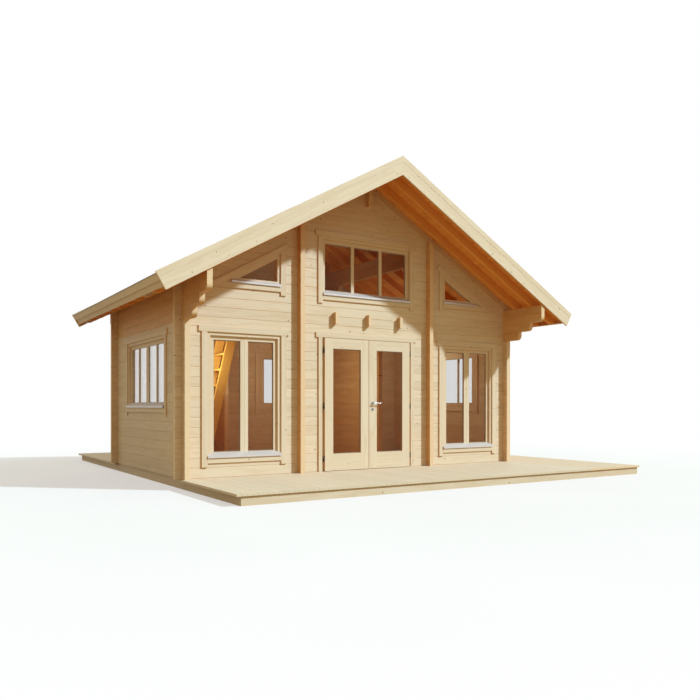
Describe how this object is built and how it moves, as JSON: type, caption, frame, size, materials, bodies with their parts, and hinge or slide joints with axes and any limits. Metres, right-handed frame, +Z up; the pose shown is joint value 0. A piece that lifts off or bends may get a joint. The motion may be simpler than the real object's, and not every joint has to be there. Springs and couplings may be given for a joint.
{
  "type": "log summer house with loft and deck",
  "caption": "Log summer house with a deep front gable, crossed log corners, a glazed double door, tall and triangular windows, a sleeping loft and a surrounding timber deck.",
  "frame": {"origin": "on the ground under the middle of the log house's plan, in the middle bearer's underside", "axes": "+X to the right as seen from the front, +Y to the back, +Z up"},
  "size_m": [7.425, 8.34, 4.6356],
  "materials": {
    "log": "planed untreated spruce",
    "deck": "planed untreated spruce boards",
    "floor": "planed boards",
    "frame_timber": "planed untreated spruce",
    "rafter": "planed untreated spruce",
    "roof_board": "planed tongued boards",
    "bargeboard": "planed untreated spruce boards",
    "stair": "clear varnished pine",
    "joinery": "planed untreated spruce",
    "trim": "planed untreated spruce",
    "glazing": "clear double glazing",
    "sill": "satin",
    "handle": "satin"
  },
  "bodies": {
    "house": {"platform_frame": "frame_timber", "front_deck": "deck", "side_deck": "deck", "rear_deck": "deck", "house_floor": "floor", "front_wall_left": "log", "front_wall_right": "log", "front_gable": "log", "rear_wall": "log", "left_wall": "log", "right_wall": "log", "left_eave_logs": "log", "right_eave_logs": "log", "left_inner_wall": "log", "right_inner_wall": "log", "ridge_beam": "log", "left_rafters": "rafter", "right_rafters": "rafter", "left_roof": "roof_board", "right_roof": "roof_board", "front_left_bargeboard": "bargeboard", "front_right_bargeboard": "bargeboard", "rear_left_bargeboard": "bargeboard", "rear_right_bargeboard": "bargeboard", "left_fascia": "bargeboard", "right_fascia": "bargeboard", "loft_joists": "frame_timber", "loft_floor": "floor", "loft_stair": "stair", "door_frame": "joinery", "front_left_window": "joinery", "front_right_window": "joinery", "loft_window": "joinery", "gable_windows": "joinery", "left_side_window": "joinery", "right_side_window": "joinery", "rear_window": "joinery", "window_glass": "glazing", "cover_boards": "trim", "window_sills": "sill"},
    "left_door": {"left_door": "joinery", "left_door_glass": "glazing"},
    "right_door": {"right_door": "joinery", "right_door_glass": "glazing"},
    "door_handle": {"door_handle": "handle"}
  },
  "joints": [
    {"name": "left_door_hinge", "type": "hinge", "parent": "house", "child": "left_door", "pos_m": [-0.769, -1.7395, 0.137], "axis": [0, 0, -1], "range_deg": [0, 120]},
    {"name": "right_door_hinge", "type": "hinge", "parent": "house", "child": "right_door", "pos_m": [0.769, -1.7395, 0.137], "axis": [0, 0, 1], "range_deg": [0, 120]},
    {"name": "door_lever", "type": "hinge", "parent": "right_door", "child": "door_handle", "pos_m": [0.066, -1.71, 1.137], "axis": [0, 1, 0], "range_deg": [0, 40], "stiffness_Nm_per_rad": 1, "springref_deg": -34.38}
  ]
}
